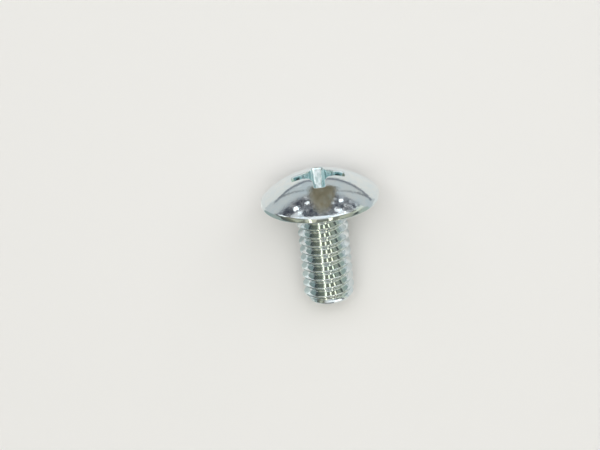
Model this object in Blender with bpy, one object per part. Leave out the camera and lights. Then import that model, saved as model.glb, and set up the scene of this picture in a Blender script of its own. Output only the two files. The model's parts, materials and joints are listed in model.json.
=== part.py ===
"""Machine screw with a truss head and a cross recess, M4 x 8, lying on its side.

The screw is one piece of steel and is made here in the order of the real one: a turned blank
with its head, then the punch that presses the cross recess, then the thread. It is drawn along
its own axis Z, with the head up and Z = 0 at the flat face under the head, and laid down last.
"""

import math

import bmesh
import bpy
import numpy as np

# Head, in metres
HEAD_DIAMETER = 0.0091
HEAD_HEIGHT = 0.0023
RIM_HEIGHT = 0.00043
RIM_TOP_ROUND = 0.0002
RIM_FOOT_ROUND = 0.00013

# Shank and thread, in metres. The length is measured from the face under the head.
LENGTH = 0.008
THREAD_DIAMETER = 0.0039
THREAD_PITCH = 0.0007
THREAD_DEPTH = 0.0004
ROOT_FLAT = 0.00013
FLANK_ANGLE = math.radians(30)
NECK_DIAMETER = 0.00345
NECK_LENGTH = 0.00055
NECK_FILLET = 0.0002
TIP_DIAMETER = 0.003
THREAD_FADE_GAP = 0.00042
THREAD_FADE_TURNS = 0.7
THREAD_START = math.radians(158)

# Cross recess, size 2, in metres. Its floor is where the wings end and the blunt point begins.
RECESS_DEPTH = 0.0022
RECESS_FLOOR_SPAN = 0.00229
RECESS_FLOOR_WING = 0.00068
RECESS_FLOOR_CORE = 0.00147
RECESS_POINT_DEPTH = 0.0003
WING_SLOPE = math.radians(26.5)
WING_DRAFT = math.radians(2.9)
CORE_DRAFT = math.radians(7)
CORNER_ANGLE = math.radians(140)
RECESS_TURN = math.radians(5)

# Finish
ZINC_COLOUR = (0.76, 0.79, 0.79, 1)
ZINC_METALLIC = 0.95
ZINC_ROUGHNESS = 0.3

# Fineness of the mesh
SIDES = 40
DOME_STEPS = 9
ROUND_STEPS = 3
WING_TIP_STEPS = 4
SHARP_ANGLE = math.radians(25)

# How far a cutter stands clear of the metal before it starts to cut, in metres
CUTTER_CLEARANCE = 0.00002
CUTTER_OVERHANG = 0.0003

# What follows from the sizes above
RIM_RADIUS = HEAD_DIAMETER / 2
DOME_RISE = HEAD_HEIGHT - RIM_HEIGHT
DOME_RADIUS = (RIM_RADIUS**2 + DOME_RISE**2) / (2 * DOME_RISE)
DOME_CENTRE = HEAD_HEIGHT - DOME_RADIUS
NECK_RADIUS = NECK_DIAMETER / 2
CREST_RADIUS = THREAD_DIAMETER / 2
ROOT_RADIUS = CREST_RADIUS - THREAD_DEPTH
TIP_RADIUS = TIP_DIAMETER / 2
STEP_ANGLE = 2 * math.pi / SIDES


def arc(centre, radius, start, end, steps):
    """Points (radius from the axis, height) along an arc, both ends included."""
    angles = [start + (end - start) * step / steps for step in range(steps + 1)]
    return [
        (centre[0] + radius * math.cos(angle), centre[1] + radius * math.sin(angle))
        for angle in angles
    ]


def blank_profile():
    """Half section of the blank, from the top of the dome down to the middle of the tip."""
    top_round_r = RIM_RADIUS - RIM_TOP_ROUND
    top_round_rise = math.sqrt((DOME_RADIUS - RIM_TOP_ROUND) ** 2 - top_round_r**2)
    dome_end = math.atan2(top_round_rise, top_round_r)
    quarter = math.pi / 2

    dome = arc((0, DOME_CENTRE), DOME_RADIUS, quarter, dome_end, DOME_STEPS)
    rim_top = arc((top_round_r, DOME_CENTRE + top_round_rise), RIM_TOP_ROUND, dome_end, 0, ROUND_STEPS)
    rim_foot = arc((RIM_RADIUS - RIM_FOOT_ROUND, RIM_FOOT_ROUND), RIM_FOOT_ROUND, 0, -quarter, ROUND_STEPS)
    neck_fillet = arc((NECK_RADIUS + NECK_FILLET, -NECK_FILLET), NECK_FILLET, quarter, 2 * quarter, ROUND_STEPS)
    shank = [
        (NECK_RADIUS, -NECK_LENGTH),
        (CREST_RADIUS, -NECK_LENGTH - (CREST_RADIUS - NECK_RADIUS)),
        (CREST_RADIUS, -LENGTH + (CREST_RADIUS - TIP_RADIUS)),
        (TIP_RADIUS, -LENGTH),
        (0, -LENGTH),
    ]
    return [(0, HEAD_HEIGHT)] + dome[1:] + rim_top[1:] + rim_foot + neck_fillet + shank


def polar(radius, angle, height):
    return (radius * math.cos(angle), radius * math.sin(angle), height)


def mesh_object(name, bm):
    """Turns a bmesh into an object whose faces all point outwards."""
    bmesh.ops.recalc_face_normals(bm, faces=bm.faces)
    mesh = bpy.data.meshes.new(name)
    bm.to_mesh(mesh)
    bm.free()
    made = bpy.data.objects.new(name, mesh)
    bpy.context.collection.objects.link(made)
    return made


def turned(name, profile):
    """Solid of revolution about Z. A flat of its outline, not a corner, faces each way along X and Y."""
    bm = bmesh.new()
    verts = [bm.verts.new(polar(r, STEP_ANGLE / 2, z)) for r, z in profile]
    edges = [bm.edges.new(pair) for pair in zip(verts, verts[1:])]
    bmesh.ops.spin(
        bm, geom=verts + edges, axis=(0, 0, 1), cent=(0, 0, 0), angle=2 * math.pi, steps=SIDES
    )
    bmesh.ops.remove_doubles(bm, verts=bm.verts, dist=1e-7)
    return mesh_object(name, bm)


def extruded(name, outlines):
    """Closed solid made by extruding the first outline through all the others, point for point."""
    bm = bmesh.new()
    first = bm.faces.new([bm.verts.new(point) for point in outlines[0]])
    end = first
    for outline in outlines[1:]:
        grown = bmesh.ops.extrude_face_region(bm, geom=[end])["geom"]
        if end is not first:
            bm.faces.remove(end)
        end = next(item for item in grown if isinstance(item, bmesh.types.BMFace))
        for vert, point in zip(end.verts, outline):
            vert.co = point
    return mesh_object(name, bm)


def cross_outline(level, share=1):
    """The recess at a height above its floor: four wings, and between them corners with two bevels.

    share shrinks the outline towards the axis, for the blunt point below the floor.
    """
    tip = RECESS_FLOOR_SPAN / 2 + level * math.tan(WING_SLOPE)
    half_wing = RECESS_FLOOR_WING / 2 + level * math.tan(WING_DRAFT)
    corner = (RECESS_FLOOR_CORE / 2 + level * math.tan(CORE_DRAFT)) * math.sqrt(0.5)
    bevel_end = corner + (corner - half_wing) / math.tan(CORNER_ANGLE / 2 - math.pi / 4)
    half_tip = math.asin(half_wing / tip)
    wing = (
        [(bevel_end, -half_wing)]
        + arc((0, 0), tip, -half_tip, half_tip, WING_TIP_STEPS)
        + [(bevel_end, half_wing), (corner, corner)]
    )
    points = []
    for quarter in range(4):
        for x, y in wing:
            for _ in range(quarter):
                x, y = -y, x
            points.append((x * share, y * share))
    return points


def recess_punch():
    """Solid of the punch that presses the recess, from its blunt point to above the dome.

    It is turned a little about the axis, because it meets the blank at a chance angle.
    """
    floor = HEAD_HEIGHT - RECESS_DEPTH
    above = RECESS_DEPTH + CUTTER_OVERHANG
    levels = [(-RECESS_POINT_DEPTH, 0, 0.3), (-RECESS_POINT_DEPTH / 2, 0, 0.75), (0, 0, 1), (above, above, 1)]
    outlines = [
        [(x, y, floor + height) for x, y in cross_outline(level, share)]
        for height, level, share in levels
    ]
    punch = extruded("recess_punch", outlines)
    punch.rotation_euler = (0, 0, RECESS_TURN)
    return punch


def groove_outline(angle, height, lift):
    """Section of the thread's groove across its path. lift moves it outwards, where the thread fades."""
    root = ROOT_RADIUS + lift
    mouth = CREST_RADIUS + CUTTER_CLEARANCE + lift
    half_root = ROOT_FLAT / 2
    half_mouth = half_root + (THREAD_DEPTH + CUTTER_CLEARANCE) * math.tan(FLANK_ANGLE)
    section = [
        (root, -half_root),
        (mouth, -half_mouth),
        (mouth + CUTTER_OVERHANG, -half_mouth),
        (mouth + CUTTER_OVERHANG, half_mouth),
        (mouth, half_mouth),
        (root, half_root),
    ]
    return [polar(r, angle, height + z) for r, z in section]


def thread_cutter():
    """Right-hand helical groove, from beyond the tip to the neck, where it fades out of the metal."""
    climb = THREAD_PITCH / SIDES
    start_height = THREAD_PITCH * THREAD_START / (2 * math.pi)
    first = math.floor((-LENGTH - THREAD_PITCH - start_height) / climb)
    last = math.floor((-THREAD_FADE_GAP - start_height) / climb)
    fade_steps = THREAD_FADE_TURNS * SIDES
    full_lift = NECK_RADIUS - ROOT_RADIUS + CUTTER_CLEARANCE
    outlines = []
    for step in range(first, last + 1):
        faded = max(0, 1 - (last - step) / fade_steps)
        outlines.append(groove_outline(step * STEP_ANGLE, start_height + step * climb, full_lift * faded**2))
    return extruded("thread_cutter", outlines)


def cut(solid, cutter):
    """Takes the cutter's shape out of the solid. The cutter moves with it and isn't rendered."""
    cutter.hide_render = True
    cutter.display_type = "WIRE"
    cutter.parent = solid
    boolean = solid.modifiers.new(cutter.name, "BOOLEAN")
    boolean.operation = "DIFFERENCE"
    boolean.solver = "EXACT"
    boolean.object = cutter


def zinc_plate():
    material = bpy.data.materials.new("zinc_plate")
    material.use_nodes = True
    shader = material.node_tree.nodes["Principled BSDF"]
    shader.inputs["Base Color"].default_value = ZINC_COLOUR
    shader.inputs["Metallic"].default_value = ZINC_METALLIC
    shader.inputs["Roughness"].default_value = ZINC_ROUGHNESS
    return material


def finished_points(solid):
    """Vertices of the solid after its cuts, in its own frame."""
    mesh = solid.evaluated_get(bpy.context.evaluated_depsgraph_get()).data
    points = np.empty(len(mesh.vertices) * 3, np.float32)
    mesh.vertices.foreach_get("co", points)
    return points.reshape(-1, 3).astype(float)


def resting_tilt(points):
    """Slope of the line that touches both the rim and the threads from the side of +Y."""
    head = points[points[:, 2] > 0]
    threads = points[points[:, 2] < -NECK_LENGTH]
    rise = head[None, :, 1] - threads[:, None, 1]
    run = head[None, :, 2] - threads[:, None, 2]
    return float(np.arctan2(rise, run).max(axis=1).min())


def lay_down(solid):
    """Lays the screw on its rim and its last threads, head towards +Y, and centres its base on the origin."""
    points = finished_points(solid)
    tilt = resting_tilt(points)
    turn = tilt - math.pi / 2
    y = points[:, 1] * math.cos(turn) - points[:, 2] * math.sin(turn)
    z = points[:, 1] * math.sin(turn) + points[:, 2] * math.cos(turn)
    x = points[:, 0]
    solid.rotation_euler = (turn, 0, 0)
    solid.location = (-(x.min() + x.max()) / 2, -(y.min() + y.max()) / 2, -z.min())


def clear_scene():
    for old in list(bpy.data.objects):
        bpy.data.objects.remove(old, do_unlink=True)


def main():
    clear_scene()
    screw = turned("screw", blank_profile())
    screw.data.materials.append(zinc_plate())
    screw.data.shade_smooth()
    screw.data.set_sharp_from_angle(angle=SHARP_ANGLE)
    cut(screw, recess_punch())
    cut(screw, thread_cutter())
    lay_down(screw)


main()
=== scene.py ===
# %% [markdown]
# # A zinc-plated machine screw, lying on a table
#
# The screw is an M4 with a wide truss head and a cross recess. It was headed and rolled from one
# piece of steel wire, so the finished model is one mesh too. Its plain solid is loaded first, as a
# frame for size and place. The visible screw is then modelled along its own axis, in millimetres,
# and laid where the solid lies.

# %% Load the frame
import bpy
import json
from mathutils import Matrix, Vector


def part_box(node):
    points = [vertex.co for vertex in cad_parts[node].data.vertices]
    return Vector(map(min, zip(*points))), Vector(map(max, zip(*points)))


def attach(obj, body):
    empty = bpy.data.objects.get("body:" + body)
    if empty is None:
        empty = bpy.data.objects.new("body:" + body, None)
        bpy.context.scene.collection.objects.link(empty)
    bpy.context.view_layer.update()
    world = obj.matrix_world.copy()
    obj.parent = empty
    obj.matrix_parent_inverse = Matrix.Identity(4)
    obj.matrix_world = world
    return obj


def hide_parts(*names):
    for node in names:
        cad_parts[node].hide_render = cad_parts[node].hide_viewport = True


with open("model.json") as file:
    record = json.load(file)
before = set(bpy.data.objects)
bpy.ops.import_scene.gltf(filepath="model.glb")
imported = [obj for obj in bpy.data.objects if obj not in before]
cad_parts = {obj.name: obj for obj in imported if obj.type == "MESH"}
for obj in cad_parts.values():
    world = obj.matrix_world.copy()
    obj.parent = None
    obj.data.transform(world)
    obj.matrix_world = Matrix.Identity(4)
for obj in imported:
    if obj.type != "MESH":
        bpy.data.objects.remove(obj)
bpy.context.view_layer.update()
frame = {"record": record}


# %% [markdown]
# ## Where the screw lies
#
# The record knows two flat faces of the solid: the bearing face under the head and the face of the
# tip. Both point along the axis, towards the tip. The middle of the bearing face is the natural
# zero of the drawing, so the pose needs only that point and that direction.

# %% Read the pose from the record
import json
import math

import bmesh
import bpy
from mathutils import Matrix, Vector

MM = 0.001
mounts = {mount["name"]: mount for mount in frame["record"]["mounts"]}
bearing_face = Vector(mounts["bearing_face"]["pos_m"])
axis = -Vector(mounts["bearing_face"]["axis"])
head_centre = Vector((0, bearing_face.y, bearing_face.z))
lying_turn = math.atan2(axis.z, axis.y) - math.pi / 2
lowest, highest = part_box("screw")
print("turned about X by", round(math.degrees(lying_turn), 2), "degrees")

# %% [markdown]
# ## Sizes
#
# All lengths below are in millimetres, and Z = 0 is the flat face under the head. The width of the
# rim is taken from the frame. The other sizes repeat those of the solid, so the fine mesh stays
# inside the plain one. AROUND is the number of steps round the axis. It is a multiple of eight,
# because the cross recess repeats in quarters that are mirror images of themselves. Points closer
# than WELD count as one.

# %% Name the sizes
RIM_RADIUS = (highest.x - lowest.x) / 2 / MM
HEAD_HEIGHT = 2.3
RIM_HEIGHT = 0.43
RIM_TOP_ROUND = 0.2
RIM_FOOT_ROUND = 0.13
LENGTH = 8.0
PITCH = 0.7
CREST_RADIUS = 1.944
ROOT_RADIUS = 1.545
NECK_RADIUS = 1.72
AROUND = 144
WELD = 0.001
DOME_RISE = HEAD_HEIGHT - RIM_HEIGHT
DOME_RADIUS = (RIM_RADIUS**2 + DOME_RISE**2) / (2 * DOME_RISE)
DOME_CENTRE = HEAD_HEIGHT - DOME_RADIUS


def dome_height(radius):
    """Height of the dome at a distance from the axis."""
    return DOME_CENTRE + math.sqrt(DOME_RADIUS**2 - radius**2)


print("rim radius", round(RIM_RADIUS, 3), "and dome radius", round(DOME_RADIUS, 3))

# %% [markdown]
# ## Helpers for edit mode
#
# Operators act on whatever is selected, and the frame's node is still selected after loading. So
# each new piece starts with nothing selected. A line is drawn as by hand: a plane is merged to one
# point, and the point is extruded from place to place.

# %% Helpers
def edit(piece):
    """Goes to edit mode with only this piece selected."""
    bpy.ops.object.select_all(action="DESELECT")
    piece.select_set(True)
    bpy.context.view_layer.objects.active = piece
    bpy.ops.object.mode_set(mode="EDIT")


def draw_line(name, points):
    """A line through points in the XZ plane, as an object that stays in edit mode, all selected."""
    bpy.ops.object.select_all(action="DESELECT")
    bpy.ops.mesh.primitive_plane_add(size=1)
    line = bpy.context.object
    line.name = name
    bpy.ops.object.mode_set(mode="EDIT")
    bpy.ops.mesh.select_all(action="SELECT")
    bpy.ops.mesh.merge(type="CENTER")
    last = Vector((0, 0, 0))
    for index, (radius, height) in enumerate(points):
        place = Vector((radius, 0, height))
        if index == 0:
            bpy.ops.transform.translate(value=place)
        else:
            bpy.ops.mesh.extrude_region_move(TRANSFORM_OT_translate={"value": place - last})
        last = place
    bpy.ops.mesh.select_all(action="SELECT")
    return line


def weld_all(distance):
    """Merges all points of the mesh that are this close together."""
    bpy.ops.mesh.select_all(action="SELECT")
    bpy.ops.mesh.remove_doubles(threshold=distance)


def select_where(piece, test):
    """Selects the vertices that pass a test, and the edges and faces between them."""
    bm = bmesh.from_edit_mesh(piece.data)
    for vert in bm.verts:
        vert.select_set(test(vert.co))
    bm.select_flush_mode()
    bmesh.update_edit_mesh(piece.data)


# %% [markdown]
# ## The thread
#
# On the real screw two dies roll the thread into the wire. Its section is a row of ridges with
# flanks at 30 degrees, a narrow flat crest and a slightly wider root, all with softened corners.
# Only one pitch is drawn. A Screw modifier sweeps it round and up by one pitch a turn, and makes
# all the turns at once. Viewed from the head, turning clockwise drives it in, so the thread climbs
# as the angle grows. CREST_PHASE says where in its pitch the crest passes angle zero.

# %% Draw one pitch and sweep it
FLANK_ANGLE = math.radians(30)
ROOT_FLAT = 0.13
CREST_PHASE = 0.94
CORNER_ROUND = 0.03
CORNER_STEPS = 4
FLANK_GUARD = 0.045
END_GUARD = 0.01
TURNS = 13
START_TURN = 14
thread_depth = CREST_RADIUS - ROOT_RADIUS
half_groove = ROOT_FLAT / 2 + thread_depth * math.tan(FLANK_ANGLE)
pitch_start = PITCH * (CREST_PHASE - START_TURN)


def flank_point(inwards, side):
    """A point on a flank, this far inwards from the crest. side is -1 below the groove, else 1."""
    from_middle = half_groove - inwards * math.tan(FLANK_ANGLE)
    return (CREST_RADIUS - inwards, pitch_start + PITCH / 2 + side * from_middle)


def is_corner(place):
    """Whether a point is a corner of the crest or the root, and not an end of the line."""
    on_flat = min(abs(place.x - radius) for radius in (CREST_RADIUS, ROOT_RADIUS)) < WELD
    return on_flat and pitch_start + END_GUARD < place.z < pitch_start + PITCH - END_GUARD


down_a_flank = (0, FLANK_GUARD, thread_depth - FLANK_GUARD, thread_depth)
section = [(CREST_RADIUS, pitch_start)]
section += [flank_point(inwards, -1) for inwards in down_a_flank]
section += [flank_point(inwards, 1) for inwards in reversed(down_a_flank)]
section += [(CREST_RADIUS, pitch_start + PITCH)]
thread = draw_line("thread", section)
bpy.ops.mesh.select_all(action="DESELECT")
select_where(thread, is_corner)
bpy.ops.mesh.bevel(offset=CORNER_ROUND, segments=CORNER_STEPS, affect="VERTICES")
print("points in one pitch:", len(bmesh.from_edit_mesh(thread.data).verts))
bpy.ops.object.mode_set(mode="OBJECT")

sweep = thread.modifiers.new("sweep", "SCREW")
sweep.axis = "Z"
sweep.screw_offset = PITCH
sweep.iterations = TURNS
sweep.steps = AROUND
sweep.render_steps = AROUND
bpy.ops.object.modifier_apply(modifier="sweep")

edit(thread)
weld_all(WELD)
bpy.ops.object.mode_set(mode="OBJECT")
print("swept thread has", len(thread.data.vertices), "points")

# %% [markdown]
# ## Run-out and chamfer
#
# A rolled thread doesn't stop at a wall. Near the head the groove gets shallower along its path
# and the ridge leans down to the neck, and at the tip the ridges fade into a chamfer. Both are
# made by moving points towards or away from the axis, as the blank under the dies would be. The
# two ends are then cut square with Bisect, which leaves the points of its cut selected. TIP_EDGE
# holds the small round at the tip, as distances from the axis and heights.

# %% Press the ends of the thread
NECK_LENGTH = 0.55
TIP_RADIUS = 1.5
FADE_GAP = 0.42
FADE_TURNS = 0.7
NECK_CUT = -0.45
CUT_WELD = 0.004
CHAMFER_SOFTNESS = 0.05
TIP_EDGE = [(1.529, -7.971), (1.51, -7.987), (1.487, -7.997), (1.455, -8.0)]


def smooth_min(a, b, width):
    """The smaller of two values, with the step between them rounded off."""
    share = min(max(0.5 + 0.5 * (b - a) / width, 0), 1)
    return b + (a - b) * share - width * share * (1 - share)


def fade_at(angle, height):
    """How far the groove beside a point has faded, from 0 in full depth to 1 at its end."""
    groove = PITCH * (CREST_PHASE - 0.5 + angle / (2 * math.pi))
    groove += PITCH * round((height - groove) / PITCH)
    return min(max(1 - (-FADE_GAP - groove) / (FADE_TURNS * PITCH), 0), 1)


for vert in thread.data.vertices:
    radius = math.hypot(vert.co.x, vert.co.y)
    fade = fade_at(math.atan2(vert.co.y, vert.co.x), vert.co.z)
    lift = (NECK_RADIUS - ROOT_RADIUS) * fade**2
    neck_cone = NECK_RADIUS + max(0, -NECK_LENGTH - vert.co.z)
    chamfer = TIP_RADIUS + max(0, vert.co.z + LENGTH)
    pressed = min(radius + lift, CREST_RADIUS, neck_cone)
    pressed = smooth_min(pressed, chamfer, CHAMFER_SOFTNESS)
    vert.co.x *= pressed / radius
    vert.co.y *= pressed / radius

edit(thread)
tip_cut = TIP_EDGE[0][1]
for height, above, below in ((NECK_CUT, True, False), (tip_cut, False, True)):
    bpy.ops.mesh.select_all(action="SELECT")
    bpy.ops.mesh.bisect(
        plane_co=(0, 0, height), plane_no=(0, 0, 1), clear_outer=above, clear_inner=below
    )
    bpy.ops.mesh.remove_doubles(threshold=CUT_WELD)
print("cut square at", NECK_CUT, "and", tip_cut)

# %% [markdown]
# ## The face of the tip
#
# The cut edge is extruded and scaled inwards, first round the small edge radius and then across
# the face. Rolling squeezes metal outwards at the end of a real screw and leaves a shallow dish
# there, so the rows in the middle lie a little deeper.

# %% Close the tip
DISH_DEPTH = 0.05
DISH_RADIUS = 1.3
DISH_RINGS = (DISH_RADIUS, 1.05, 0.75, 0.4, 0.15)


def dish_height(radius):
    """Height of the dished face at a distance from the axis."""
    return -LENGTH + DISH_DEPTH * (1 - (radius / DISH_RADIUS) ** 2)


last_radius, last_height = TIP_EDGE[0]
for radius, height in TIP_EDGE[1:] + [(radius, dish_height(radius)) for radius in DISH_RINGS]:
    bpy.ops.mesh.extrude_region_move()
    size = radius / last_radius
    bpy.ops.transform.resize(value=(size, size, 1), center_override=(0, 0, 0))
    bpy.ops.transform.translate(value=(0, 0, height - last_height))
    last_radius, last_height = radius, height
bpy.ops.mesh.merge(type="CENTER")
bpy.ops.object.mode_set(mode="OBJECT")
print("cut thread has", len(thread.data.vertices), "points")

# %% [markdown]
# ## The head
#
# The head is a shape of revolution, so half its section is drawn and spun. The line starts on the
# dome at a ring that clears the recess, runs over the rim and under the head, and ends on the neck
# above the cut thread. Arcs round the two edges of the rim and the corner under the head.

# %% Spin the head
RING_RADIUS = 2.75
NECK_FILLET = 0.2
NECK_END = -0.3
UNDERSIDE_RINGS = (3.8, 3.2, 2.6, 2.2)
RIM_STEPS = 6
DOME_STEPS = 14


def arc(centre, radius, start, end, steps):
    """Points (distance from the axis, height) along an arc, both ends included."""
    angles = [start + (end - start) * step / steps for step in range(steps + 1)]
    return [(centre[0] + radius * math.cos(a), centre[1] + radius * math.sin(a)) for a in angles]


top_round_r = RIM_RADIUS - RIM_TOP_ROUND
top_round_rise = math.sqrt((DOME_RADIUS - RIM_TOP_ROUND) ** 2 - top_round_r**2)
top_round_centre = (top_round_r, DOME_CENTRE + top_round_rise)
dome_end = math.atan2(top_round_rise, top_round_r)
dome_start = math.acos(RING_RADIUS / DOME_RADIUS)
foot_centre = (RIM_RADIUS - RIM_FOOT_ROUND, RIM_FOOT_ROUND)
fillet_centre = (NECK_RADIUS + NECK_FILLET, -NECK_FILLET)
half_section = (
    arc((0, DOME_CENTRE), DOME_RADIUS, dome_start, dome_end, DOME_STEPS)
    + arc(top_round_centre, RIM_TOP_ROUND, dome_end, 0, RIM_STEPS)[1:]
    + arc(foot_centre, RIM_FOOT_ROUND, 0, -math.pi / 2, RIM_STEPS)
    + [(radius, 0) for radius in UNDERSIDE_RINGS]
    + arc(fillet_centre, NECK_FILLET, math.pi / 2, math.pi, RIM_STEPS)
    + [(NECK_RADIUS, NECK_END)]
)
head = draw_line("head", half_section)
bpy.ops.mesh.spin(steps=AROUND, angle=2 * math.pi, center=(0, 0, 0), axis=(0, 0, 1))
weld_all(WELD)
print("spun head has", len(bmesh.from_edit_mesh(head.data).verts), "points")

# %% [markdown]
# ## The outline of the recess
#
# A cross recess of size 2 has four wings that narrow as they go down, because the punch has to
# come out again. Between two wings the corner is cut back by two flat bevels that meet in a blunt
# ridge. Only half a wing has to be described, from the middle of its tip to the ridge. The rest
# is its mirror image, turned three times. The outline is a function of the height above the floor.

# %% Describe half a wing
RECESS_DEPTH = 2.2
FLOOR = HEAD_HEIGHT - RECESS_DEPTH
FLOOR_SPAN = 2.29
FLOOR_WING = 0.68
FLOOR_CORE = 1.47
POINT_DEPTH = 0.3
WING_SLOPE = math.radians(26.5)
WING_DRAFT = math.radians(2.9)
CORE_DRAFT = math.radians(7)
CORNER_ANGLE = math.radians(140)
CORNER_SOFTNESS = 0.13
TIP_STEPS = 3
SIDE_STEPS = 6
CORNER_BEND = 2


def bend(start, corner, end, steps, share=1):
    """Points of a soft bend from start to end that leans towards the corner."""
    places = [share * step / steps for step in range(steps + 1)]
    return [start.lerp(corner, t).lerp(corner.lerp(end, t), t) for t in places]


def half_wing(level):
    """Outline of half a wing at a height above the floor."""
    tip = FLOOR_SPAN / 2 + level * math.tan(WING_SLOPE)
    side = FLOOR_WING / 2 + level * math.tan(WING_DRAFT)
    core = (FLOOR_CORE / 2 + level * math.tan(CORE_DRAFT)) * math.sqrt(0.5)
    side_end = Vector((core + (core - side) / math.tan(CORNER_ANGLE / 2 - math.pi / 4), side))
    tip_corner = Vector((math.sqrt(tip**2 - side**2), side))
    ridge = Vector((core, core))
    soft = min(CORNER_SOFTNESS, (tip_corner.x - side_end.x) / 3)
    towards_ridge = (ridge - side_end).normalized() * soft
    inwards = Vector((soft, 0))
    tip_turn = math.asin(side / tip) - soft / tip
    turns = [tip_turn * step / TIP_STEPS for step in range(TIP_STEPS + 1)]
    tip_arc = [Vector((tip * math.cos(turn), tip * math.sin(turn))) for turn in turns]
    side_start = tip_corner - inwards
    side_stop = side_end + inwards
    bevel_start = side_end + towards_ridge
    bevel_stop = ridge - towards_ridge
    return (
        tip_arc[:-1]
        + bend(tip_arc[-1], tip_corner, side_start, TIP_STEPS)
        + [side_start.lerp(side_stop, step / SIDE_STEPS) for step in range(1, SIDE_STEPS)]
        + bend(side_stop, side_end, bevel_start, CORNER_BEND)
        + [bevel_start.lerp(bevel_stop, 0.5)]
        + bend(bevel_stop, ridge, Vector((bevel_stop.y, bevel_stop.x)), CORNER_BEND, share=0.5)
    )


def all_round(half):
    """The whole outline from half a wing, with the points in the order of the columns."""
    other_half = [Vector((point.y, point.x, point.z)) for point in reversed(half[1:])]
    quarter = half[:-1] + other_half
    turns = [Matrix.Rotation(turn * math.pi / 2, 3, "Z") for turn in range(4)]
    return [turn @ point for turn in turns for point in quarter]


print("points in half a wing:", len(half_wing(1)), "so columns:", 8 * (len(half_wing(1)) - 1))

# %% [markdown]
# ## Where the recess meets the dome
#
# The walls lean, and the dome falls away from its middle, so the mouth isn't at one height. For
# each column the meeting point is found by trying a height, reading the dome above that point, and
# trying again. Pressing leaves the mouth slightly rounded, so a bend leads from the dome into the
# wall. A hard edge would also catch no light.

# %% Find the rows of the recess
MOUTH_ROUND = 0.07
ATTEMPTS = 10
COLUMNS = range(AROUND)


def on_dome(point):
    """The point of the dome straight above or below this one."""
    return Vector((point.x, point.y, dome_height(math.hypot(point.x, point.y))))


def wall_row(share):
    """Points on the wall, from just below the mouth at share 1 to the floor at share 0."""
    half = []
    for index, mouth_level in enumerate(mouth_levels):
        level = share * (mouth_level - MOUTH_ROUND)
        half.append(half_wing(level)[index].to_3d() + Vector((0, 0, FLOOR + level)))
    return all_round(half)


mouth_levels = []
for index in range(len(half_wing(0))):
    level = RECESS_DEPTH
    for attempt in range(ATTEMPTS):
        level = dome_height(half_wing(level)[index].length) - FLOOR
    mouth_levels.append(level)

mouth = all_round([on_dome(half_wing(level)[i]) for i, level in enumerate(mouth_levels)])
shoulder = []
ring = []
for i in COLUMNS:
    along = mouth[(i + 1) % AROUND] - mouth[i - 1]
    outwards = Vector((along.y, -along.x, 0)).normalized()
    shoulder.append(on_dome(mouth[i] + outwards * MOUTH_ROUND))
    turn = Matrix.Rotation(2 * math.pi * i / AROUND, 3, "Z")
    ring.append(on_dome(turn @ Vector((RING_RADIUS, 0, 0))))
top_of_wall = wall_row(1)
print("mouth of the recess is", round(2 * mouth[0].x, 2), "mm across its wings")

# %% [markdown]
# ## Pressing the recess
#
# The open edge of the dome is extruded inwards row by row, and each new row is laid on its points.
# Every point of the ring gets the number of its column first. Extruding hands that number on, so
# each row knows which point is which. A second number says how deep in the recess a point is, for
# the finish, which gathers there. FLOOR_ROWS shrink the outline of the floor and sink it towards
# the blunt point. A punch meets the blank at a chance angle, so the finished head is turned a
# little about its axis.

# %% Press the recess
DOME_ROWS = 9
MOUTH_ROWS = 4
WALL_ROWS = 7
FLOOR_ROWS = ((0.95, 0.03), (0.8, 0.11), (0.55, 0.2), (0.3, 0.27), (0.1, POINT_DEPTH))
RECESS_TURN = math.radians(5)


def lay_row(piece, points, depth=0):
    """Extrudes the selected edge and lays the new one on these points, one for each column."""
    bpy.ops.mesh.extrude_region_move()
    bm = bmesh.from_edit_mesh(piece.data)
    column = bm.verts.layers.int["column"]
    recess = bm.verts.layers.float["recess"]
    for vert in bm.verts:
        if vert.select:
            vert.co = points[vert[column]]
            vert[recess] = depth
    bmesh.update_edit_mesh(piece.data)


ring_height = dome_height(RING_RADIUS)
select_where(head, lambda place: abs(place.z - ring_height) < WELD)
bm = bmesh.from_edit_mesh(head.data)
bm.verts.layers.float.new("recess")
column = bm.verts.layers.int.new("column")
for vert in bm.verts:
    if vert.select:
        angle = math.atan2(vert.co.y, vert.co.x)
        vert[column] = round(angle / (2 * math.pi) * AROUND) % AROUND
bmesh.update_edit_mesh(head.data)

for row in range(1, DOME_ROWS + 1):
    lay_row(head, [on_dome(ring[i].lerp(shoulder[i], row / DOME_ROWS)) for i in COLUMNS])
for row in range(1, MOUTH_ROWS + 1):
    bends = [bend(shoulder[i], mouth[i], top_of_wall[i], MOUTH_ROWS) for i in COLUMNS]
    lay_row(head, [points[row] for points in bends], depth=row / (MOUTH_ROWS + 1))
for row in range(1, WALL_ROWS + 1):
    lay_row(head, wall_row(1 - row / WALL_ROWS), depth=1)
floor_outline = wall_row(0)
for share, sunk in FLOOR_ROWS:
    row_points = [Vector((p.x * share, p.y * share, FLOOR - sunk)) for p in floor_outline]
    lay_row(head, row_points, depth=1)
bpy.ops.mesh.merge(type="CENTER")
bpy.ops.object.mode_set(mode="OBJECT")
head.data.attributes.remove(head.data.attributes["column"])
head.rotation_euler = (0, 0, RECESS_TURN)
bpy.ops.object.transform_apply(location=False, rotation=True, scale=False)
print("head with its recess has", len(head.data.vertices), "points")

# %% [markdown]
# ## One piece
#
# The real screw is one piece of steel, so head and thread are joined and the two open edges at the
# neck are bridged. Doubles are merged and the normals recalculated, and only then is the whole
# shaded smooth, with sharp edges where the turn is steep.

# %% Join the neck and shade
FINE_WELD = 0.0005
SHARP_TURN = math.radians(38)

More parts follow.
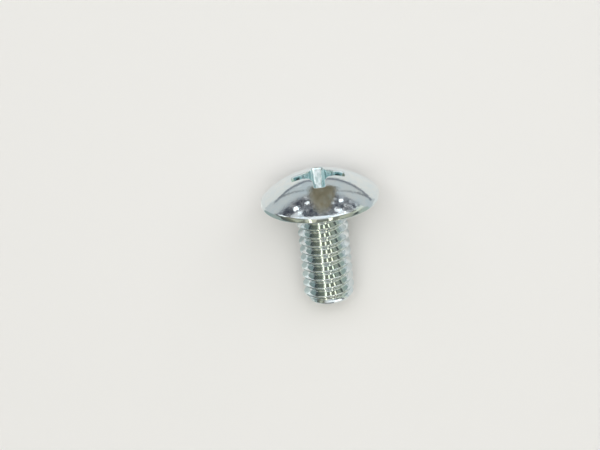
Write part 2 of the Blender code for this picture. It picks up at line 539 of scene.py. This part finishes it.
bpy.ops.object.select_all(action="DESELECT")
thread.select_set(True)
head.select_set(True)
bpy.context.view_layer.objects.active = head
bpy.ops.object.join()
screw = bpy.context.object
screw.name = "truss_head_screw"
screw.data.name = "truss_head_screw"

edit(screw)
bpy.ops.mesh.select_all(action="DESELECT")
bpy.ops.mesh.select_non_manifold(use_non_contiguous=False)
bpy.ops.mesh.bridge_edge_loops()
weld_all(FINE_WELD)
bpy.ops.mesh.normals_make_consistent(inside=False)
bm = bmesh.from_edit_mesh(screw.data)
open_edges = sum(edge.is_boundary or not edge.is_manifold for edge in bm.edges)
bpy.ops.object.mode_set(mode="OBJECT")
bpy.ops.object.shade_smooth_by_angle(angle=SHARP_TURN)
triangles = sum(len(face.vertices) - 2 for face in screw.data.polygons)
print("open edges:", open_edges, "and triangles:", triangles)

# %% [markdown]
# ## Laying it down
#
# The screw rests on the rim of its head and on its last threads, as the frame does. It is scaled
# from millimetres to metres, turned about X, and moved. The transform is then applied, so that the
# object sits at the origin and its place is in its mesh.

# %% Lay the screw in the frame
screw.scale = (MM, MM, MM)
screw.rotation_euler = (lying_turn, 0, 0)
screw.location = head_centre
bpy.ops.object.transform_apply(location=True, rotation=True, scale=True)
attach(screw, "root")
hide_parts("screw")
print("laid down with its head at", [round(value / MM, 2) for value in head_centre])

# %% [markdown]
# ## Helpers for materials
#
# A node material is a few nodes and the links between them. These helpers add a node with its
# settings, a colour ramp, a change of range, or a whole list of links.

# %% More helpers
def new_node(tree, kind, **settings):
    """Adds a node and sets its properties and, by name, its sockets."""
    node = tree.nodes.new(kind)
    for name, value in settings.items():
        if name in node.inputs:
            node.inputs[name].default_value = value
        else:
            setattr(node, name, value)
    return node


def colour_ramp(tree, *stops):
    """A colour ramp through stops of position and colour, from the lowest to the highest."""
    node = new_node(tree, "ShaderNodeValToRGB")
    steps = node.color_ramp.elements
    steps[0].position, steps[1].position = stops[0][0], stops[-1][0]
    for position, _ in stops[1:-1]:
        steps.new(position)
    for step, (_, colour) in zip(steps, stops):
        step.color = (*colour, 1)
    return node


def map_range(tree, from_range, to_range=(0, 1), **settings):
    """A node that takes one range of numbers to another."""
    node = new_node(tree, "ShaderNodeMapRange", **settings)
    for end, value in zip(("From Min", "From Max", "To Min", "To Max"), (*from_range, *to_range)):
        node.inputs[end].default_value = value
    return node


def wire(tree, *links):
    """Links nodes. Each link is a node, its output, the next node and its input."""
    for source, output, target, socket in links:
        tree.links.new(source.outputs[output], target.inputs[socket])


def shading_material(name):
    """A new node material, with its tree and its Principled shader."""
    material = bpy.data.materials.new(name)
    material.use_nodes = True
    return material, material.node_tree, material.node_tree.nodes["Principled BSDF"]


print("materials so far:", len(bpy.data.materials))

# %% [markdown]
# ## Zinc plating
#
# Bright zinc with a clear blue passivation is a metal mirror. It is whitish, cool on the whole,
# and drifts between a pale blue and a paler grey where the passivation is thinner or thicker. A
# Principled shader makes it, fully metallic. One noise drives the drift of colour and a finer one
# the changing gloss, both on Object coordinates, so the pattern stays on the screw.

# %% Make the zinc
BLUE_FILM = (0.67, 0.77, 0.82)
THIN_FILM = (0.80, 0.83, 0.82)
GLOSSIEST, DULLEST = 0.04, 0.10

zinc, tree, shader = shading_material("zinc_plate")
shader.inputs["Metallic"].default_value = 1.0
place = new_node(tree, "ShaderNodeTexCoord")
drift = new_node(tree, "ShaderNodeTexNoise", Scale=700.0, Detail=6.0, Roughness=0.8)
tint = colour_ramp(tree, (0.35, BLUE_FILM), (0.65, THIN_FILM))
gloss = new_node(tree, "ShaderNodeTexNoise", Scale=2600.0, Detail=2.0)
gloss_range = map_range(tree, (0, 1), (GLOSSIEST, DULLEST))
wire(
    tree,
    (place, "Object", drift, "Vector"),
    (drift, "Fac", tint, "Fac"),
    (place, "Object", gloss, "Vector"),
    (gloss, "Fac", gloss_range, "Value"),
    (gloss_range, "Result", shader, "Roughness"),
)
screw.data.materials.clear()
screw.data.materials.append(zinc)
print("zinc nodes so far:", len(tree.nodes))

# %% [markdown]
# ## Streaks in the recess
#
# In the recess the passivation gathers, and the punch has drawn the metal out. So the "recess"
# numbers from the pressing mix in a clearer blue-green, in streaks along the axis. The streaks are
# a noise too. Its coordinates are turned back upright, and it is finer across the axis than along
# it. A Mix node keeps its colour sockets behind those for numbers and vectors, under the same
# names, so they go by their place.

# %% Streak the recess
GATHERED_FILM = (0.60, 0.73, 0.74)
WIPED_FILM = (0.84, 0.93, 0.945)
STREAK_FINENESS = (5200, 5200, 700)
MIX_A, MIX_B, MIX_RESULT = 6, 7, 2

upright = new_node(tree, "ShaderNodeVectorRotate", rotation_type="X_AXIS", Angle=-lying_turn)
drawn_out = new_node(tree, "ShaderNodeVectorMath", operation="MULTIPLY")
drawn_out.inputs[1].default_value = STREAK_FINENESS
streaks = new_node(tree, "ShaderNodeTexNoise", Scale=1.0, Detail=2.0)
streak_tint = colour_ramp(tree, (0.38, GATHERED_FILM), (0.62, WIPED_FILM))
in_recess = new_node(tree, "ShaderNodeAttribute", attribute_name="recess")
plating = new_node(tree, "ShaderNodeMix", data_type="RGBA")
wire(
    tree,
    (place, "Object", upright, "Vector"),
    (upright, "Vector", drawn_out, 0),
    (drawn_out, "Vector", streaks, "Vector"),
    (streaks, "Fac", streak_tint, "Fac"),
    (in_recess, "Fac", plating, "Factor"),
    (tint, "Color", plating, MIX_A),
    (streak_tint, "Color", plating, MIX_B),
    (plating, MIX_RESULT, shader, "Base Color"),
)
print("zinc nodes with streaks:", len(tree.nodes))

# %% [markdown]
# ## A wavy skin
#
# A Bump node gives the skin fine waves, and the streaks too where it is in the recess. The head
# was struck and is wavier than the thread, which was rolled between polished dies. How far a point
# lies along the axis therefore sets the strength of the bump.

# %% Add the waves
WAVE_DEPTH = 0.00001
THREAD_WAVES, HEAD_WAVES = 0.12, 0.55
BELOW_HEAD, IN_HEAD = 0.0002, 0.0004

waves = new_node(tree, "ShaderNodeTexNoise", Scale=4800.0, Detail=3.0, Roughness=0.6)
pressed = new_node(tree, "ShaderNodeMath", operation="MULTIPLY")
relief = new_node(tree, "ShaderNodeMath", operation="ADD")
along_axis = new_node(tree, "ShaderNodeSeparateXYZ")
head_along = axis.dot(head_centre)
strength = map_range(
    tree, (head_along - BELOW_HEAD, head_along + IN_HEAD), (THREAD_WAVES, HEAD_WAVES)
)
bump = new_node(tree, "ShaderNodeBump", Distance=WAVE_DEPTH)
wire(
    tree,
    (place, "Object", waves, "Vector"),
    (streaks, "Fac", pressed, 0),
    (in_recess, "Fac", pressed, 1),
    (waves, "Fac", relief, 0),
    (pressed, "Value", relief, 1),
    (relief, "Value", bump, "Height"),
    (upright, "Vector", along_axis, "Vector"),
    (along_axis, "Z", strength, "Value"),
    (strength, "Result", bump, "Strength"),
    (bump, "Normal", shader, "Normal"),
)
print("zinc nodes in all:", len(tree.nodes))

# %% [markdown]
# ## The table
#
# The table is a large pale disc with a matt surface. It carries the soft shadow that seats the
# screw, and its light colour fills the lower half of the reflections.

# %% Add the table
TABLE_RADIUS = 0.7
TABLE_COLOUR = (0.875, 0.86, 0.85, 1)
MATT = 0.8

bpy.ops.object.select_all(action="DESELECT")
bpy.ops.mesh.primitive_circle_add(vertices=96, radius=TABLE_RADIUS, fill_type="NGON")
table = bpy.context.object
table.name = "table"
paper, tree, shader = shading_material("table_paper")
shader.inputs["Base Color"].default_value = TABLE_COLOUR
shader.inputs["Roughness"].default_value = MATT
table.data.materials.append(paper)
print("table radius", TABLE_RADIUS, "m")

# %% [markdown]
# ## A card
#
# Bright metal only looks like metal when it has something darker to mirror, so a photographer
# stands coloured card around it. A card is a plane whose four points are moved to its corners.
# Only reflections see it: it is hidden from the camera, throws no shadow and lights nothing matt.

# %% A helper for cards
CARD_ROUGHNESS = 0.9


def card(name, corners, colour):
    """A flat card through four corners. It gives back its node tree and its shader."""
    bpy.ops.object.select_all(action="DESELECT")
    bpy.ops.mesh.primitive_plane_add(size=1)
    made = bpy.context.object
    made.name = name
    for vert, corner in zip(made.data.vertices, corners):
        vert.co = corner
    material, tree, shader = shading_material(name)
    shader.inputs["Base Color"].default_value = (*colour, 1)
    shader.inputs["Roughness"].default_value = CARD_ROUGHNESS
    made.data.materials.append(material)
    made.visible_camera = False
    made.visible_diffuse = False
    made.visible_shadow = False
    return tree, shader


# %% [markdown]
# ## Cards on the table
#
# Grey card lies round the screw and leaves a window for it. Black strips edge the window beyond
# the head. They give the dome its dark arch and the grey below it. Teal and green card beside the
# screw colours the flanks of the thread. A short dark card before the tip is painted shade: it
# stands in for the screw's shadow on the table there, which the chamfer of the tip mirrors. The
# cards are laid square to the picture, in which the screw is turned a little.

# %% Lay out the cards
SCREW_YAW = math.radians(4.6)
CARD_REACH = 0.5
STRIP_REACH = 0.06
STRIP_WIDTH = 0.0021
LEFT_EDGE, RIGHT_EDGE, FRONT_EDGE, BACK_EDGE = -0.0126, 0.0113, -0.0146, 0.0126
FIRST_LAYER, SECOND_LAYER, THIRD_LAYER = 0.0001, 0.0002, 0.0003
BLACK = (0.21, 0.22, 0.26)
DARK_GREY = (0.24, 0.25, 0.27)
GREY = (0.63, 0.65, 0.67)
TEAL = (0.36, 0.43, 0.42)
GREEN = (0.47, 0.53, 0.48)
picture_turn = Matrix.Rotation(-SCREW_YAW, 3, "Z")
flat_cards = {    # x from and to, y from and to, height over the table, colour
    "grey_left": (-CARD_REACH, LEFT_EDGE, -CARD_REACH, CARD_REACH, FIRST_LAYER, GREY),
    "teal_left": (-CARD_REACH, -0.0054, -CARD_REACH, -0.0025, SECOND_LAYER, TEAL),
    "grey_right": (RIGHT_EDGE, CARD_REACH, -CARD_REACH, CARD_REACH, FIRST_LAYER, GREY),
    "grey_front": (LEFT_EDGE, RIGHT_EDGE, -CARD_REACH, FRONT_EDGE, FIRST_LAYER, GREY),
    "grey_back": (LEFT_EDGE, RIGHT_EDGE, BACK_EDGE, CARD_REACH, FIRST_LAYER, GREY),
    "green_right": (0.0072, CARD_REACH, -CARD_REACH, -0.001, SECOND_LAYER, GREEN),
    "strip_left": (
        LEFT_EDGE - STRIP_WIDTH, LEFT_EDGE, BACK_EDGE, STRIP_REACH, SECOND_LAYER, DARK_GREY
    ),
    "strip_right": (
        RIGHT_EDGE, RIGHT_EDGE + STRIP_WIDTH, BACK_EDGE, STRIP_REACH, SECOND_LAYER, DARK_GREY
    ),
    "strip_back": (-0.016, 0.0145, BACK_EDGE, BACK_EDGE + STRIP_WIDTH, THIRD_LAYER, BLACK),
    # painted shade: a dark card standing in for the screw's shadow on the table before the tip
    "tip_strip": (-0.0035, 0.0012, -0.0115, -0.0075, THIRD_LAYER, DARK_GREY),
}
for name, (x0, x1, y0, y1, height, colour) in flat_cards.items():
    corners = [(x0, y0), (x1, y0), (x0, y1), (x1, y1)]
    card(name, [picture_turn @ Vector((x, y, height)) for x, y in corners], colour)
print("flat cards:", len(flat_cards))

# %% [markdown]
# ## The brown card
#
# A brown card stands upright beyond the head and makes the soft patch on the dome. The distance
# from its middle fades it out through Alpha, and noise pushes that distance about, so that the
# patch has no straight edge. The colour follows the same noise and gets paler upwards.

# %% Stand up the brown card
WARM_CARD_Y = 0.027
WARM_SPAN, WARM_TOP = (-0.012, 0.014), 0.03
WARM_MIDDLE_X, WARM_MIDDLE_Z = 0.0012, 0.007
WARM_HALF_WIDTH, WARM_HALF_HEIGHT = 0.0072, 0.020
DARK_BROWN = (0.30, 0.25, 0.175)
BROWN = (0.45, 0.385, 0.28)
PALE_BROWN = (0.58, 0.53, 0.45)
PALER_UPWARDS = 0.3
PUSH = 0.3
CLEAR_FROM, SOLID_FROM = 1.2, 0.6

warm_corners = [(x, WARM_CARD_Y, z) for z in (0, WARM_TOP) for x in WARM_SPAN]
tree, shader = card("warm_card", warm_corners, BROWN)
place = new_node(tree, "ShaderNodeTexCoord")
centred = new_node(tree, "ShaderNodeMapping")
centred.inputs["Location"].default_value = (
    -WARM_MIDDLE_X / WARM_HALF_WIDTH, 0, -WARM_MIDDLE_Z / WARM_HALF_HEIGHT
)
centred.inputs["Scale"].default_value = (1 / WARM_HALF_WIDTH, 0, 1 / WARM_HALF_HEIGHT)
uneven = new_node(tree, "ShaderNodeTexNoise", Scale=3.0, Detail=4.0)
warm_parts = new_node(tree, "ShaderNodeSeparateXYZ")
paler_upwards = new_node(tree, "ShaderNodeMath", operation="MULTIPLY_ADD")
paler_upwards.inputs[1].default_value = PALER_UPWARDS
warm_tone = colour_ramp(tree, (0.36, DARK_BROWN), (0.56, BROWN), (0.78, PALE_BROWN))
pushed = new_node(tree, "ShaderNodeVectorMath", operation="MULTIPLY_ADD")
pushed.inputs[1].default_value = (PUSH, 0, PUSH)
pushed_back = new_node(tree, "ShaderNodeVectorMath", operation="SUBTRACT")
pushed_back.inputs[1].default_value = (PUSH / 2, 0, PUSH / 2)
from_middle = new_node(tree, "ShaderNodeVectorMath", operation="LENGTH")
soft_edge = map_range(tree, (CLEAR_FROM, SOLID_FROM), interpolation_type="SMOOTHSTEP")
wire(
    tree,
    (place, "Object", centred, "Vector"),
    (centred, "Vector", uneven, "Vector"),
    (centred, "Vector", warm_parts, "Vector"),
    (warm_parts, "Z", paler_upwards, 0),
    (uneven, "Fac", paler_upwards, 2),
    (paler_upwards, "Value", warm_tone, "Fac"),
    (warm_tone, "Color", shader, "Base Color"),
    (uneven, "Color", pushed, 0),
    (centred, "Vector", pushed, 2),
    (pushed, "Vector", pushed_back, 0),
    (pushed_back, "Vector", from_middle, 0),
    (from_middle, "Value", soft_edge, "Value"),
    (soft_edge, "Result", shader, "Alpha"),
)
print("brown card nodes:", len(tree.nodes))

# %% [markdown]
# ## Small and slanted cards
#
# A white dot beyond the head makes a highlight on the dome. The left side of the thread shows a
# row of bright bulbs with a darker outline. Their light is a narrow white card that glows a
# little, and their outline is the sage and the teal card on either side of it. These three slant,
# because the places that the turns of the thread mirror lie on a slant.

# %% Add the small cards
TOP_LAYER = 0.0004
SAGE = (0.68, 0.75, 0.74)
WHITE = (0.95, 0.96, 0.97)
GLOW_COLOUR = (0.9, 1.0, 0.98, 1)
GLOW_STRENGTH = 0.28

small_cards = {    # x from and to at the near end, at the far end, y from and to, height, colour
    "white_dot": (
        (-0.0064, -0.0053), (-0.0064, -0.0053), 0.0160, 0.0174, TOP_LAYER, WHITE
    ),
    "near_left": (
        (-0.0028, -0.0012), (-0.0048, -0.0012), -0.0075, 0.0025, SECOND_LAYER, SAGE
    ),
    "teal_beside": (
        (-CARD_REACH, -0.0056), (-CARD_REACH, -0.0078), -0.0025, 0.0015, SECOND_LAYER, TEAL
    ),
    "white_left": (
        (-0.0046, -0.0034), (-0.0061, -0.0047), -0.0025, 0.0028, SECOND_LAYER, WHITE
    ),
}
shaders = {}
for name, (near_x, far_x, y0, y1, height, colour) in small_cards.items():
    corners = [(x, y, height) for y, ends in ((y0, near_x), (y1, far_x)) for x in ends]
    tree, shaders[name] = card(name, corners, colour)
shaders["white_left"].inputs["Emission Color"].default_value = GLOW_COLOUR
shaders["white_left"].inputs["Emission Strength"].default_value = GLOW_STRENGTH
print("small cards:", len(small_cards))

# %% [markdown]
# ## The room
#
# A shiny screw shows its surroundings more than its own colour, so it gets a room: a wide shell
# that glows like dim walls. The camera doesn't see it and looks at a plain pale backdrop, the
# colour of the world.

# %% Build the room
ROOM_RADIUS = 0.68
ROOM_FOOT = -0.01
BACKDROP = (0.83, 0.82, 0.80, 1)

bpy.ops.object.select_all(action="DESELECT")
bpy.ops.mesh.primitive_uv_sphere_add(segments=64, ring_count=32, radius=ROOM_RADIUS)
room = bpy.context.object
room.name = "room"
edit(room)
select_where(room, lambda place: place.z < ROOM_FOOT)
bpy.ops.mesh.delete(type="VERT")
bpy.ops.object.mode_set(mode="OBJECT")
room.visible_camera = False

world = bpy.data.worlds.new("backdrop")
bpy.context.scene.world = world
world.use_nodes = True
world.node_tree.nodes["Background"].inputs["Color"].default_value = BACKDROP
print("room radius", ROOM_RADIUS, "m")

# %% [markdown]
# ## Its walls
#
# The coordinates are shrunk so that the shell has a radius of one. The tone of the walls then
# follows the height: dark low down, greenish half way and pale at the top.

# %% Paint the walls
walls = bpy.data.materials.new("room_walls")
walls.use_nodes = True
walls.cycles.emission_sampling = "NONE"
room.data.materials.append(walls)
tree = walls.node_tree
tree.nodes.clear()
place = new_node(tree, "ShaderNodeTexCoord")
centred = new_node(tree, "ShaderNodeVectorMath", operation="SCALE", Scale=1 / ROOM_RADIUS)
parts = new_node(tree, "ShaderNodeSeparateXYZ")
height_tone = colour_ramp(
    tree,
    (0.10, (0.11, 0.12, 0.115)),
    (0.32, (0.19, 0.195, 0.15)),
    (0.45, (0.265, 0.27, 0.205)),
    (0.76, (0.22, 0.225, 0.18)),
    (0.84, (0.50, 0.50, 0.47)),
    (0.95, (0.86, 0.87, 0.87)),
)
wire(
    tree,
    (place, "Object", centred, 0),
    (centred, "Vector", parts, "Vector"),
    (parts, "Z", height_tone, "Fac"),
)
print("wall nodes so far:", len(tree.nodes))

# %% [markdown]
# ## The clutter
#
# Beyond the head the walls show the clutter of a workshop, which the lower half of the dome
# mirrors. It is a noise in steep steps, above a low even band, and it gets a little lighter to
# the right. The mix of both halves is what the shell gives off as light.

# %% Add the clutter
LOW_BAND = (0.44, 0.46, 0.48, 1)
LOW_BAND_TOP = 0.09
CLUTTER_EDGE = (0.25, 0.5)
LIGHTER_RIGHT = 0.03

clutter = new_node(tree, "ShaderNodeTexNoise", Scale=17.0, Detail=4.0, Roughness=0.7)
sideways = new_node(tree, "ShaderNodeMath", operation="MULTIPLY_ADD")
sideways.inputs[1].default_value = LIGHTER_RIGHT
clutter_tone = colour_ramp(
    tree,
    (0.41, (0.03, 0.032, 0.05)),
    (0.48, (0.10, 0.105, 0.125)),
    (0.56, (0.26, 0.255, 0.26)),
    (0.64, (1.1, 1.1, 1.1)),
)
rising = map_range(tree, (0, LOW_BAND_TOP))
low_wall = new_node(tree, "ShaderNodeMix", data_type="RGBA")
low_wall.inputs[MIX_A].default_value = LOW_BAND
beyond = map_range(tree, CLUTTER_EDGE)
walls_mix = new_node(tree, "ShaderNodeMix", data_type="RGBA")
glow = new_node(tree, "ShaderNodeEmission")
output = new_node(tree, "ShaderNodeOutputMaterial")
wire(
    tree,
    (centred, "Vector", clutter, "Vector"),
    (parts, "X", sideways, 0),
    (clutter, "Fac", sideways, 2),
    (sideways, "Value", clutter_tone, "Fac"),
    (parts, "Z", rising, "Value"),
    (rising, "Result", low_wall, "Factor"),
    (clutter_tone, "Color", low_wall, MIX_B),
    (parts, "Y", beyond, "Value"),
    (beyond, "Result", walls_mix, "Factor"),
    (height_tone, "Color", walls_mix, MIX_A),
    (low_wall, MIX_RESULT, walls_mix, MIX_B),
    (walls_mix, MIX_RESULT, glow, "Color"),
    (glow, "Emission", output, "Surface"),
)
print("wall nodes in all:", len(tree.nodes))

# %% [markdown]
# ## A lamp
#
# All lamps are rectangles. One in the sky is given by where it stands over the screw and how wide
# it looks from there. A strip is given by its ends in a ceiling, as if that were at a height of 1.
# The energy grows with the area, so the brightness of a lamp doesn't change with its size.

# %% Helpers for lamps
LAMP_DISTANCE = 0.45
CEILING = 0.28


def area_lamp(name, size, brightness, colour, place):
    """A rectangular lamp. A brightness of 1 is that of white paper in plain light."""
    data = bpy.data.lights.new(name, "AREA")
    data.shape = "RECTANGLE"
    data.size, data.size_y = size
    data.energy = brightness * math.pi * data.size * data.size_y
    data.color = colour
    made = bpy.data.objects.new(name, data)
    bpy.context.scene.collection.objects.link(made)
    made.matrix_world = place
    made.visible_camera = False
    return made


def sky_lamp(name, azimuth, elevation, width, height, brightness, colour):
    """A lamp in the sky, in degrees. Azimuth is 0 towards -Y and grows towards +X."""
    a, e = math.radians(azimuth), math.radians(elevation)
    towards = Vector((math.sin(a) * math.cos(e), -math.cos(a) * math.cos(e), math.sin(e)))
    size = [2 * LAMP_DISTANCE * math.tan(math.radians(angle) / 2) for angle in (width, height)]
    turn = towards.to_track_quat("Z", "Y").to_matrix().to_4x4()
    place = Matrix.Translation(towards * LAMP_DISTANCE) @ turn
    return area_lamp(name, size, brightness, colour, place)


def overhead_strip(name, start, end, width, brightness, colour):
    """A strip lamp in the ceiling, from one (x, y) to another, for a ceiling at a height of 1."""
    first, last = Vector(start), Vector(end)
    along = last - first
    middle = (first + last) / 2 * CEILING
    turn = Matrix.Rotation(math.atan2(along.y, along.x) - math.pi / 2, 4, "Z")
    place = Matrix.Translation((middle.x, middle.y, CEILING)) @ turn
    return area_lamp(name, (width * CEILING, along.length * CEILING), brightness, colour, place)


print("lamps so far:", len(bpy.data.lights))

# %% [markdown]
# ## Lamps for the table
#
# A large ceiling panel is the main light. Only matt surfaces see it: it brightens the table, while
# the metal mirrors the calmer walls. Two wide panels, beyond the head and at its right, light both
# and draw the soft shadow beside the shank.

# %% Hang the panels
DAYLIGHT = (0.97, 0.99, 1.0)
PAPER_LIGHT = (1.0, 0.99, 0.96)

ceiling_panel = overhead_strip("ceiling_panel", (0.02, -0.40), (0.02, 0.40), 0.9, 2.0, PAPER_LIGHT)
ceiling_panel.visible_glossy = False
sky_lamp("back_panel", 180, 55, 90, 32, 0.88, DAYLIGHT)
sky_lamp("back_right_panel", 115, 50, 40, 34, 0.5, DAYLIGHT)
print("lamps for the table:", len(bpy.data.lights))

# %% [markdown]
# ## Lamps for the metal
#
# The other lamps show only in reflections, so the table stays as it is. Two glows brighten the
# dome beyond the head, and low windows light its sides. Strips overhead run along the screw and
# draw the bright line down the thread, with a softer one around it and a short one at the right.
# Small lamps before the tip make the row of pale squares, and sparks speckle the clutter.

# %% Hang the lamps that only reflections see
TUBE_LIGHT = (1.0, 0.965, 0.74)
WALL_LIGHT = (0.97, 1.0, 0.80)
WHITE_LIGHT = (1.0, 1.0, 1.0)

glows_and_windows = {    # azimuth, elevation, width and height in degrees, brightness, colour
    "back_left_glow": (215, 29, 16, 18, 0.6, DAYLIGHT),
    "back_right_glow": (150, 33, 11, 20, 0.75, DAYLIGHT),
    "left_window": (241, 15, 26, 18, 1.1, DAYLIGHT),
    "right_window": (102, 9, 72, 22, 0.52, WALL_LIGHT),
    "right_panel": (72, 26, 52, 30, 0.26, WALL_LIGHT),
    "left_panel": (-57, 32, 24, 20, 0.22, WALL_LIGHT),
}
strips = {    # start, end, width, brightness, colour
    "line_lamp": ((-0.51, -1.6), (-0.33, 0.2), 0.07, 3.0, TUBE_LIGHT),
    "line_glow": ((-0.62, -1.7), (-0.33, -0.5), 0.50, 0.40, TUBE_LIGHT),
    "second_strip": ((0.47, -1.15), (0.38, -0.5), 0.16, 1.6, TUBE_LIGHT),
}
small_lamps = {    # the same six as above
    "line_dash_lamp": (-18.5, 31, 5, 12, 1.1, TUBE_LIGHT),
    "dash_lamp": (8.5, 32, 6.5, 12, 1.85, TUBE_LIGHT),
    "far_dash_lamp": (34.5, 26, 4.6, 12, 2.0, TUBE_LIGHT),
    "spark_0": (209.5, 14.5, 4.0, 5.0, 2.5, WHITE_LIGHT),
    "spark_1": (195.4, 14.5, 3.0, 3.5, 2.5, WHITE_LIGHT),
    "spark_2": (165.0, 17.0, 2.5, 2.5, 2.5, WHITE_LIGHT),
    "spark_3": (157.5, 9.6, 2.5, 5.0, 2.2, WHITE_LIGHT),
    "spark_4": (157.0, 25.5, 7.0, 4.0, 1.3, WHITE_LIGHT),
    "spark_5": (144.0, 26.0, 6.0, 3.0, 1.0, WHITE_LIGHT),
    "spark_6": (207.3, 23.0, 5.0, 3.0, 1.0, WHITE_LIGHT),
}
for make, table_of_lamps in (
    (sky_lamp, glows_and_windows), (overhead_strip, strips), (sky_lamp, small_lamps)
):
    for name, settings in table_of_lamps.items():
        make(name, *settings).visible_diffuse = False
print("lamps in all:", len(bpy.data.lights))

# %% [markdown]
# ## Camera
#
# The photograph was taken from almost straight above with a long lens, so parallel edges stay
# parallel. The camera hangs 300 mm over the screw, leaning a little towards the head and to the
# right, and is turned so that the shank points slightly to the right on its way down. It is then
# aimed so that the middle of the head's flat face falls on its own pixel of the picture.

# %% Place the camera
CAMERA_DISTANCE = 0.3
PIXELS_PER_METRE = 12880
IMAGE_WIDTH = 600
IMAGE_HEIGHT = 450
HEAD_PIXEL = (320.4, 200.7)
LEAN_RIGHT = math.radians(3.1)
LEAN_UP = math.radians(4.0)
SENSOR_WIDTH = 36
NEAREST, FARTHEST = 0.01, 5

back = Vector((math.sin(LEAN_RIGHT), math.sin(LEAN_UP), 0))
back.z = math.sqrt(1 - back.length_squared)
right = Vector((0, 1, 0)).cross(back).normalized()
up = back.cross(right)
right, up, back = (picture_turn @ direction for direction in (right, up, back))
focal_pixels = PIXELS_PER_METRE * (CAMERA_DISTANCE + head_centre.z)
aside = (HEAD_PIXEL[0] - IMAGE_WIDTH / 2) / focal_pixels
above = (IMAGE_HEIGHT / 2 - HEAD_PIXEL[1]) / focal_pixels
look_back = (back + right * aside + up * above).normalized()
look_right = up.cross(look_back).normalized()
look_up = look_back.cross(look_right)
look = Matrix((look_right, look_up, look_back)).transposed().to_4x4()

camera = bpy.data.objects.new("camera", bpy.data.cameras.new("camera"))
bpy.context.scene.collection.objects.link(camera)
camera.matrix_world = Matrix.Translation(head_centre + back * CAMERA_DISTANCE) @ look
camera.data.sensor_width = SENSOR_WIDTH
camera.data.lens = focal_pixels * SENSOR_WIDTH / IMAGE_WIDTH
camera.data.clip_start, camera.data.clip_end = NEAREST, FARTHEST
bpy.context.scene.camera = camera
bpy.context.scene.view_settings.view_transform = "Standard"
print("lens", round(camera.data.lens, 1), "mm")
